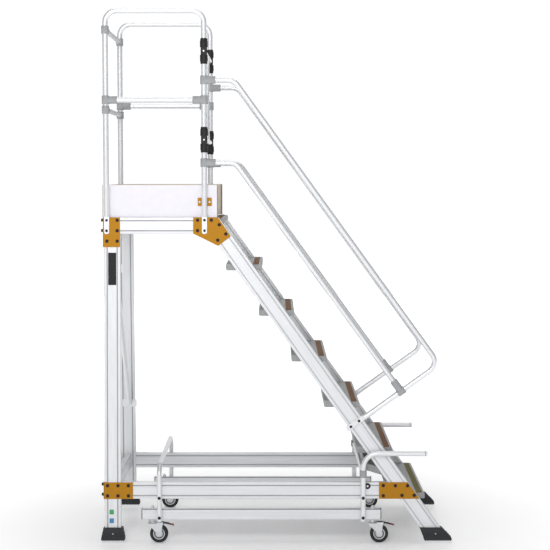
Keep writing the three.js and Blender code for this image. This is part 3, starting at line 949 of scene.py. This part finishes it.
# The rear rails wear the darker tube colour, which is painted shade.
for level, node in zip(guard["rearRails"], ("rear_upper_rail", "rear_lower_rail")):
    build(f"rearRail{level}", "frame", shadedRearTube, makeRearRail(level), replaces=[node])
    build(f"rearRailFittings{level}", "frame", castGrey, makeRearFittings(level), sharp=60)

handRail = {
    "upperZ": 2523,
    "lowerZ": 2077,
    "slope": 0.7235,
    "end": (384, 624),
    "upperLine": (240, 1875),
    "lowerLine": (83.4, 1658),
    "splay": 0.0364,
    "startGap": 16,
    "endReach": 96,
    "teeLength": 70,
    "teeOffset": 36,
}
endSlope = frames["slope"]


def railY(z):
    return guard["y"] + (handRail["upperZ"] - z) * handRail["splay"]


def onRail(side, x, z):
    return (x, side * railY(z), z)


def kneeX(line, z):
    return line[0] + handRail["slope"] * (line[1] - z)


def endCrossing(line):
    s, (ex, ez) = handRail["slope"], handRail["end"]
    x = (line[0] + s * (line[1] - ez + endSlope * ex)) / (1 + s * endSlope)
    return x, ez + endSlope * (x - ex)


def makeHandrail(side):
    def make(bm):
        x0 = guard["frontX"]
        upper, lower = handRail["upperLine"], handRail["lowerLine"]
        zu, zl = handRail["upperZ"], handRail["lowerZ"]
        ex, ez = handRail["end"]
        reach = handRail["endReach"]
        y0 = side * guard["y"]
        corners = [
            (x0 + handRail["startGap"], y0, zu),
            onRail(side, kneeX(upper, zu), zu),
            onRail(side, *endCrossing(upper)),
            onRail(side, ex + reach, ez + reach * endSlope),
        ]
        sweep(bm, corners, guard["radius"], guard["bend"])
        corners = [
            (x0 + handRail["startGap"], y0, zl),
            (kneeX(lower, zl), y0, zl),
            onRail(side, *endCrossing(lower)),
        ]
        sweep(bm, corners, guard["radius"], guard["bend"])

    return make


def makeHandrailFittings(side):
    def make(bm):
        y0 = side * guard["y"]
        for z in (handRail["upperZ"], handRail["lowerZ"]):
            makeFitting(bm, guard["frontX"], y0, z, 1)
        meet = Vector(onRail(side, *endCrossing(handRail["lowerLine"])))
        leg = Vector((1, 0, endSlope)).normalized()
        rail = Vector((-handRail["slope"], 0, 1)).normalized()
        sleeve(bm, meet, leg, guard["fitting"], guard["sleeve"])
        sleeve(bm, meet + rail * handRail["teeOffset"], rail, handRail["teeLength"], guard["sleeve"])

    return make


# The flattened end that two screws hold on the stringer.
def makeHandrailEnd(side):
    def make(bm):
        ex, ez = handRail["end"]
        turn = math.atan(endSlope)
        half = [(0, 9), (5, 14), (112, 14), (134, 11)]
        shape = [(u, -v) for u, v in half] + [(u, v) for u, v in reversed(half)]
        outline = placed(shape, ex, ez, -turn)
        ys = layerYs(side, -12.3, -0.3)
        leanOut(prism(bm, outline, *ys), side)

    return make


def makeHandrailScrews(side):
    def make(bm):
        ex, ez = handRail["end"]
        verts = []
        for step in (23, 67):
            at = (ex + step, depthY(side, -12.3), ez + step * endSlope)
            verts += lathe(bm, at, (0, side, 0), [(0, 7.4), (2.8, 7.4), (3.6, 6)], 24)
        leanOut(verts, side)

    return make


for side, hand in hands.items():
    build(
        f"{hand}Handrail",
        "frame",
        tubeMetal,
        makeHandrail(side),
        replaces=[f"{hand}_handrail"],
        sharp=40,
    )
    build(f"{hand}HandrailFittings", "frame", castGrey, makeHandrailFittings(side), sharp=60)
    build(f"{hand}HandrailEnd", "frame", tubeMetal, makeHandrailEnd(side), bevel=2.5)
    build(f"{hand}HandrailScrews", "frame", screwBlack, makeHandrailScrews(side))
print("rails made")

# The two-leaf gate.
gate = {"upper": 2678, "lower": 2201, "height": 138, "waist": 40, "radius": 21, "tube": 12.5, "bend": 60}


def makeClamp(side, z):
    def make(bm):
        half, waist = gate["height"] / 2, gate["waist"] / 2
        r = gate["radius"]
        at = (guard["frontX"], side * guard["y"], z)
        top = [
            (waist + 0.3, r - 1.5),
            (waist + 2, r),
            (half - 14, r),
            (half - 12, r - 2),
            (half - 2, r - 2),
            (half, r - 4),
        ]
        lathe(bm, at, (0, 0, 1), top)
        lathe(bm, at, (0, 0, -1), top)
        ys = sorted([at[1] + side * 15, at[1] + side * 20.5])
        block(bm, at[0] - 13, at[0] + 13, *ys, z - waist - 1, z + waist + 1)
        for way in (1, -1):
            ys = sorted([at[1] - 16, at[1] + 16])
            block(bm, at[0] + 14, at[0] + 21, *ys, z + way * 45 - 9, z + way * 45 + 9)

    return make


def makeClampPins(side, z):
    def make(bm):
        at = (guard["frontX"], side * (guard["y"] + 20.4), z)
        lathe(bm, at, (0, side, 0), [(0, 5.2), (1.2, 5.2), (1.8, 4)], 24)

    return make


def makeLeafTube(side):
    def make(bm):
        x, y = guard["frontX"], side * guard["y"]
        reach = y - side * (guard["y"] - 19)
        zu, zl = gate["upper"], gate["lower"]
        corners = [(x, y - side * 10, zu), (x, reach, zu), (x, reach, zl), (x, y - side * 10, zl)]
        sweep(bm, corners, gate["tube"], gate["bend"])

    return make


def makeLeafKnuckles(side):
    def make(bm):
        for z in (gate["upper"], gate["lower"]):
            sleeve(bm, (guard["frontX"], side * guard["y"], z), (0, 0, 1), gate["waist"] - 1, 17.6)
            sleeve(bm, (guard["frontX"], side * (guard["y"] - 27), z), (0, 1, 0), 26, 15)

    return make


for side, hand in hands.items():
    for key in ("upper", "lower"):
        build(
            f"{hand}{key.capitalize()}Clamp", "frame", clampPlastic,
            makeClamp(side, gate[key]), bevel=1.0, replaces=[f"{hand}_{key}_gate_clamp"], sharp=50,
        )
        build(
            f"{hand}{key.capitalize()}ClampPin",
            "frame",
            zincSteel,
            makeClampPins(side, gate[key]),
        )
    leaf = f"{hand}_gate_leaf"
    build(f"{hand}GateTube", leaf, tubeMetal, makeLeafTube(side), replaces=[leaf], sharp=40)
    build(f"{hand}GateKnuckles", leaf, clampPlastic, makeLeafKnuckles(side), sharp=60)
print("gate made")

# Castor lift.
lift = {
    "leverX": 473,
    "hoopX": -638,
    "y": 461.5,
    "leverRadius": 14,
    "hoopRadius": 13,
    "pivots": (254, 144.5),
    "handleZ": 497,
    "handleEnd": 823,
    "crossZ": 385,
    "hoopTop": 428,
    "bottom": 123.5,
    "leverBend": 80,
    "hoopBend": 62,
    "crossRadius": 13,
    "boltInset": 35,
    "cap": [(-8, 14.6), (1.5, 14.6), (3.4, 12.6), (4, 9)],
    "seam": [(-10, 14.3), (-8.2, 14.3)],
}


def makeLever(bm):
    x, y = lift["leverX"], lift["y"]
    for side in hands:
        corners = [
            (x, side * y, lift["bottom"]),
            (x, side * y, lift["handleZ"]),
            (lift["handleEnd"] - 4, side * y, lift["handleZ"]),
        ]
        sweep(bm, corners, lift["leverRadius"], lift["leverBend"])
    sweep(bm, [(x, -y, lift["crossZ"]), (x, y, lift["crossZ"])], lift["crossRadius"])


def makeLeverSleeves(bm):
    for side in hands:
        sleeve(bm, (lift["leverX"], side * lift["y"], lift["crossZ"]), (0, 0, 1), 38, 19.5)


def makeLeverCaps(profile):
    def make(bm):
        for side in hands:
            at = (lift["handleEnd"] - 4, side * lift["y"], lift["handleZ"])
            lathe(bm, at, (1, 0, 0), profile)

    return make


def makeHoop(bm):
    x, y = lift["hoopX"], lift["y"]
    corners = [
        (x, -y, lift["bottom"]), (x, -y, lift["hoopTop"]), (x, y, lift["hoopTop"]), (x, y, lift["bottom"]),
    ]
    sweep(bm, corners, lift["hoopRadius"], lift["hoopBend"])


def makePivotBolts(x, radius):
    inset = lift["boltInset"]
    face = inset + radius
    profile = [(0, 4.8), (face - 1, 4.8), (face - 1, 8.5), (face + 2, 8.5), (face + 3, 7)]

    def make(bm):
        for side in hands:
            for z in lift["pivots"]:
                lathe(bm, (x, side * (lift["y"] - inset), z), (0, side, 0), profile, 24)

    return make


build("castorLever", "castor_lever", tubeMetal, makeLever, replaces=["castor_lever"], sharp=40)
build("castorLeverSleeves", "castor_lever", castGrey, makeLeverSleeves, sharp=60)
build("castorLeverCaps", "castor_lever", tubeMetal, makeLeverCaps(lift["cap"]))
build("castorLeverSeams", "castor_lever", screwBlack, makeLeverCaps(lift["seam"]))
build(
    "castorLeverBolts",
    "castor_lever",
    screwBlack,
    makePivotBolts(lift["leverX"], lift["leverRadius"]),
)
build("rearHoop", "rear_hoop", tubeMetal, makeHoop, replaces=["rear_hoop"], sharp=40)
build(
    "rearHoopBolts",
    "rear_hoop",
    screwBlack,
    makePivotBolts(lift["hoopX"], lift["hoopRadius"]),
)

carrier = {
    "x0": -738,
    "x1": 574,
    "z0": 129,
    "z1": 188,
    "y": 427,
    "width": 30,
    "castors": (-679, 527),
    "cap": 5,
    "lip": 3.5,
}


def makeCarrier(side):
    def make(bm):
        y, w = side * carrier["y"], carrier["width"] / 2
        block(bm, carrier["x0"] + 3, carrier["x1"] - 3, y - w, y + w, carrier["z0"], carrier["z1"])

    return make


def makeCarrierCaps(side):
    def make(bm):
        y, w = side * carrier["y"], carrier["width"] / 2
        block(bm, carrier["x0"], carrier["x0"] + carrier["cap"], y - w, y + w, carrier["z0"], carrier["z1"])
        block(bm, carrier["x1"] - carrier["cap"], carrier["x1"], y - w, y + w, carrier["z0"], carrier["z1"])

    return make


# Painted shade: a dark strip along the top of each face, standing in for the shade under its top edge.
def makeCarrierShadeLines(side):
    def make(bm):
        y, w = side * carrier["y"], carrier["width"] / 2 + 0.4
        high = carrier["z1"] - 1
        for way in (-1, 1):
            ys = sorted([y + way * w, y + way * (w - 2)])
            block(bm, carrier["x0"] + 6, carrier["x1"] - 6, *ys, high - carrier["lip"], high)

    return make


def makeCarrierNuts(side):
    def make(bm):
        for x in carrier["castors"]:
            at = (x, side * carrier["y"], carrier["z1"])
            lathe(bm, at, (0, 0, 1), [(0, 12), (1.5, 12)], 32)
            lathe(bm, at, (0, 0, 1), [(1.5, 10), (10, 10), (11, 8.5)], 6)
            lathe(bm, at, (0, 0, 1), [(9, 5), (16, 5), (17, 4)], 20)
            lathe(bm, (x, side * carrier["y"], 122.8), (0, 0, 1), [(0, 20), (1.5, 21.5), (6.2, 21.5)], 32)

    return make


for side, hand in hands.items():
    build(
        f"{hand}Carrier",
        "castor_carriage",
        railMetal,
        makeCarrier(side),
        bevel=2.0,
        replaces=[f"{hand}_castor_carrier"],
    )
    build(
        f"{hand}CarrierCaps",
        "castor_carriage",
        clampPlastic,
        makeCarrierCaps(side),
        bevel=1.2,
    )
    build(f"{hand}CarrierShadeLines", "castor_carriage", edgeShade, makeCarrierShadeLines(side))
    build(
        f"{hand}CarrierNuts", "castor_carriage", zincSteel, makeCarrierNuts(side), sharp=25,
    )

castor = {"trail": 36, "radius": 50, "pedal": (40, 107)}


def makeFork(x, y):
    def make(bm):
        lathe(bm, (x, y, 0), (0, 0, 1), [(106, 14), (108, 19), (117, 20), (120.5, 18), (122.5, 13)], 32)
        turns = [math.radians(-200 + 20 * k) for k in range(11)]
        arc = [(castor["trail"] + 14 * math.cos(a), castor["radius"] + 14 * math.sin(a)) for a in turns]
        cheek = [(-24, 114), (-22, 104), (-8, 88), *arc, (54, 90), (60, 106), (60, 114)]
        for way in (-1, 1):
            ys = sorted([y + way * 16.6, y + way * 20])
            prism(bm, [(x + u, v) for u, v in cheek], *ys)
        block(bm, x - 23, x + 25, y - 20, y + 20, 108, 113.5)
        for u in (-20, 14):
            lathe(bm, (x + u, y, 0), (0, 0, 1), [(112, 5), (118, 5), (119, 4)], 16)
        lathe(
            bm,
            (x + castor["trail"], y - 23, castor["radius"]),
            (0, 1, 0),
            [(0, 6), (2, 8), (44, 8), (46, 6)],
            6,
        )

    return make


def makeTyre(x, y):
    def make(bm):
        turns = [math.radians(15 * k) for k in range(7)]
        arcs = [(-15 + 7 * (1 - math.cos(a)), 43 + 7 * math.sin(a)) for a in turns]
        half = [(-12, 31), (-14.2, 33), *arcs]
        profile = half + [(-a, r) for a, r in reversed(half)]
        lathe(bm, (x + castor["trail"], y, castor["radius"]), (0, 1, 0), profile, 48)

    return make


def makeHub(x, y):
    def make(bm):
        half = [(-15, 7), (-15, 13), (-12.4, 16), (-11.6, 26), (-14.6, 28), (-14.6, 32)]
        profile = half + [(-a, r) for a, r in reversed(half)]
        lathe(bm, (x + castor["trail"], y, castor["radius"]), (0, 1, 0), profile, 40)

    return make


def makePedal(x, y):
    def make(bm):
        px, pz = castor["pedal"]
        outline = [
            (-12, -3),
            (9, -3),
            (10, -6.5),
            (24, -6.5),
            (26, 0),
            (40, -3),
            (62, -8.5),
            (63, -5),
            (42, 1.5),
            (15, 6),
            (-12, 6),
        ]
        prism(bm, [(x + px + u, pz + v) for u, v in outline], y - 13, y + 13)

    return make


def makePedalTip(x, y):
    def make(bm):
        px, pz = castor["pedal"]
        outline = [(61.5, -9.2), (76, -12.6), (78, -11), (78, -8), (76, -7), (61.5, -4.2)]
        prism(bm, [(x + px + u, pz + v) for u, v in outline], y - 13.6, y + 13.6)

    return make


for side, hand in hands.items():
    for end, x in zip(("rear", "front"), carrier["castors"]):
        y = side * carrier["y"]
        names = {part: f"{hand}_{end}_{part}" for part in ("castor_fork", "castor_wheel", "brake_pedal")}
        tag = f"{hand}{end.capitalize()}"
        build(
            f"{tag}Fork",
            names["castor_fork"],
            zincSteel,
            makeFork(x, y),
            bevel=0.8,
            replaces=[names["castor_fork"]],
        )
        build(
            f"{tag}Tyre",
            names["castor_wheel"],
            tyreRubber,
            makeTyre(x, y),
            replaces=[names["castor_wheel"]],
        )
        build(f"{tag}Hub", names["castor_wheel"], hubPlastic, makeHub(x, y))
        build(
            f"{tag}Pedal",
            names["brake_pedal"],
            clampPlastic,
            makePedal(x, y),
            bevel=0.8,
            replaces=[names["brake_pedal"]],
        )
        build(
            f"{tag}PedalTip",
            names["brake_pedal"],
            redPlastic,
            makePedalTip(x, y),
            bevel=0.8,
        )
print("castor lift made")

# Small trim.
trim = {
    "bumper": (498, 315),
    "bumperRing": [(0, 16), (6, 16), (7.5, 14), (7.5, 7), (5, 6)],
    "bumperHighlight": [(5, 5.5), (7, 5.5), (8, 4)],
    "saddle": (-427, -351, 1842, 1886),
    "legLabel": (-916, -872, 1412, 1588),
    "greenLabel": (-912, -888, 160, 186),
    "blueLabel": (-912, -888, 112, 138),
}


def makeBumper(side, profile):
    def make(bm):
        x, z = trim["bumper"]
        leanOut(lathe(bm, (x, depthY(side, 0), z), (0, side, 0), profile, 32), side)

    return make


def makeSaddle(side):
    def make(bm):
        x0, x1, z0, z1 = trim["saddle"]
        ys = sorted([side * (toe["outer"] + 1.3), side * (toe["outer"] + 4.3)])
        block(bm, x0, x1, *ys, z0, z1)

    return make


def makeSaddleScrews(side):
    def make(bm):
        x0, x1, z0, z1 = trim["saddle"]
        for x in (x0 + 10, x1 - 12):
            lathe(
                bm,
                (x, side * (toe["outer"] + 4.2), (z0 + z1) / 2),
                (0, side, 0),
                [(0, 6), (2, 6), (2.8, 4.8)],
                24,
            )

    return make


def makeLabel(side, x0, x1, z0, z1):
    ys = layerYs(side, -0.15, -0.6)
    return lambda bm: leanOut(block(bm, x0, x1, *ys, z0, z1), side)


for side, hand in hands.items():
    build(f"{hand}BumperRing", "frame", clampPlastic, makeBumper(side, trim["bumperRing"]))
    # The white centre of each bumper is a painted highlight.
    build(f"{hand}BumperHighlight", "frame", boardWhite, makeBumper(side, trim["bumperHighlight"]))
    build(f"{hand}Saddle", "frame", goldLacquer, makeSaddle(side), bevel=0.8)
    build(f"{hand}SaddleScrews", "frame", zincSteel, makeSaddleScrews(side))
    build(f"{hand}LegLabel", "frame", labelBlack, makeLabel(side, *trim["legLabel"]))
    build(f"{hand}GreenLabel", "frame", labelGreen, makeLabel(side, *trim["greenLabel"]))
    build(f"{hand}BlueLabel", "frame", labelBlue, makeLabel(side, *trim["blueLabel"]))
print("trim made")


# Floor, light and camera.
def makeStage(name, middle, size, turn, material):
    bm = bmesh.new()
    matrix = Matrix.LocRotScale(Vector(middle), Matrix.Rotation(turn, 3, "X"), Vector((*size, 1)))
    bmesh.ops.create_grid(bm, x_segments=1, y_segments=1, size=1, matrix=matrix)
    mesh = bpy.data.meshes.new(name)
    bm.to_mesh(mesh)
    bm.free()
    mesh.materials.append(material)
    made = bpy.data.objects.new(name, mesh)
    bpy.context.scene.collection.objects.link(made)


studio = {
    "floor": ((0, 3, 0), (20, 33)),  # middle and half sizes, metres
    "backdrop": ((0, 16, 8), (8.2, 8)),
    "keyLight": ((-1.2, -7.5, 4.6), (0, 0, 1.6), (3.0, 2.4), 198),  # place, target, size, watts
    "topLight": ((0, 0.5, 7.0), (0, 0, 0), (5.0, 4.0), 125),
    "dim": (-0.75, -0.25, 0.5, 0.17),  # world light from bright in front to dim behind
    "lens": 96.63,
    "camera": (0.002, -8.412, 2.013),
    "tilt": (math.pi / 2 - 0.068, 0.0008, 0.001),
}
glow = bpy.data.materials.new("backdropGlow")
glow.use_nodes = True
glowInputs = glow.node_tree.nodes["Principled BSDF"].inputs
glowInputs["Base Color"].default_value = rgb("#000000")
glowInputs["Emission Color"].default_value = rgb("#ffffff")
glowInputs["Emission Strength"].default_value = 1.0
makeStage("studioFloor", *studio["floor"], 0, floorPaintAndGlow)
makeStage("backdrop", *studio["backdrop"], math.pi / 2, glow)


def addLight(name, place, target, size, power):
    data = bpy.data.lights.new(name, "AREA")
    data.shape = "RECTANGLE"
    data.size, data.size_y = size
    data.energy = power
    light = bpy.data.objects.new(name, data)
    bpy.context.scene.collection.objects.link(light)
    light.location = place
    light.rotation_euler = (Vector(target) - Vector(place)).to_track_quat("-Z", "Y").to_euler()


for name in ("keyLight", "topLight"):
    addLight(name, *studio[name])

# The room is white to look at, but lights the stand from the front more than from behind.
world = bpy.data.worlds.new("studioWorld")
bpy.context.scene.world = world
world.use_nodes = True
tree = world.node_tree
heading = addNode(tree, "ShaderNodeTexCoord").outputs["Generated"]
parts = addNode(tree, "ShaderNodeSeparateXYZ", {"Vector": heading}).outputs
front = addNode(
    tree,
    "ShaderNodeMapRange",
    {"Value": parts["Y"], **dict(zip(("From Min", "From Max", "To Min", "To Max"), studio["dim"]))},
)
seen = addNode(tree, "ShaderNodeLightPath").outputs["Is Camera Ray"]
strength = addNode(tree, "ShaderNodeMath", {0: front.outputs["Result"], 1: seen}, operation="MAXIMUM")
tree.links.new(strength.outputs["Value"], tree.nodes["Background"].inputs["Strength"])
tree.nodes["Background"].inputs["Color"].default_value = rgb("#fdfdff")

cameraData = bpy.data.cameras.new("mainCamera")
cameraData.sensor_width = 36
cameraData.lens = studio["lens"]
cameraData.clip_end = 100
camera = bpy.data.objects.new("mainCamera", cameraData)
bpy.context.scene.collection.objects.link(camera)
camera.location = studio["camera"]
camera.rotation_euler = studio["tilt"]
bpy.context.scene.camera = camera
bpy.context.scene.view_settings.view_transform = "Standard"
print("stage made")
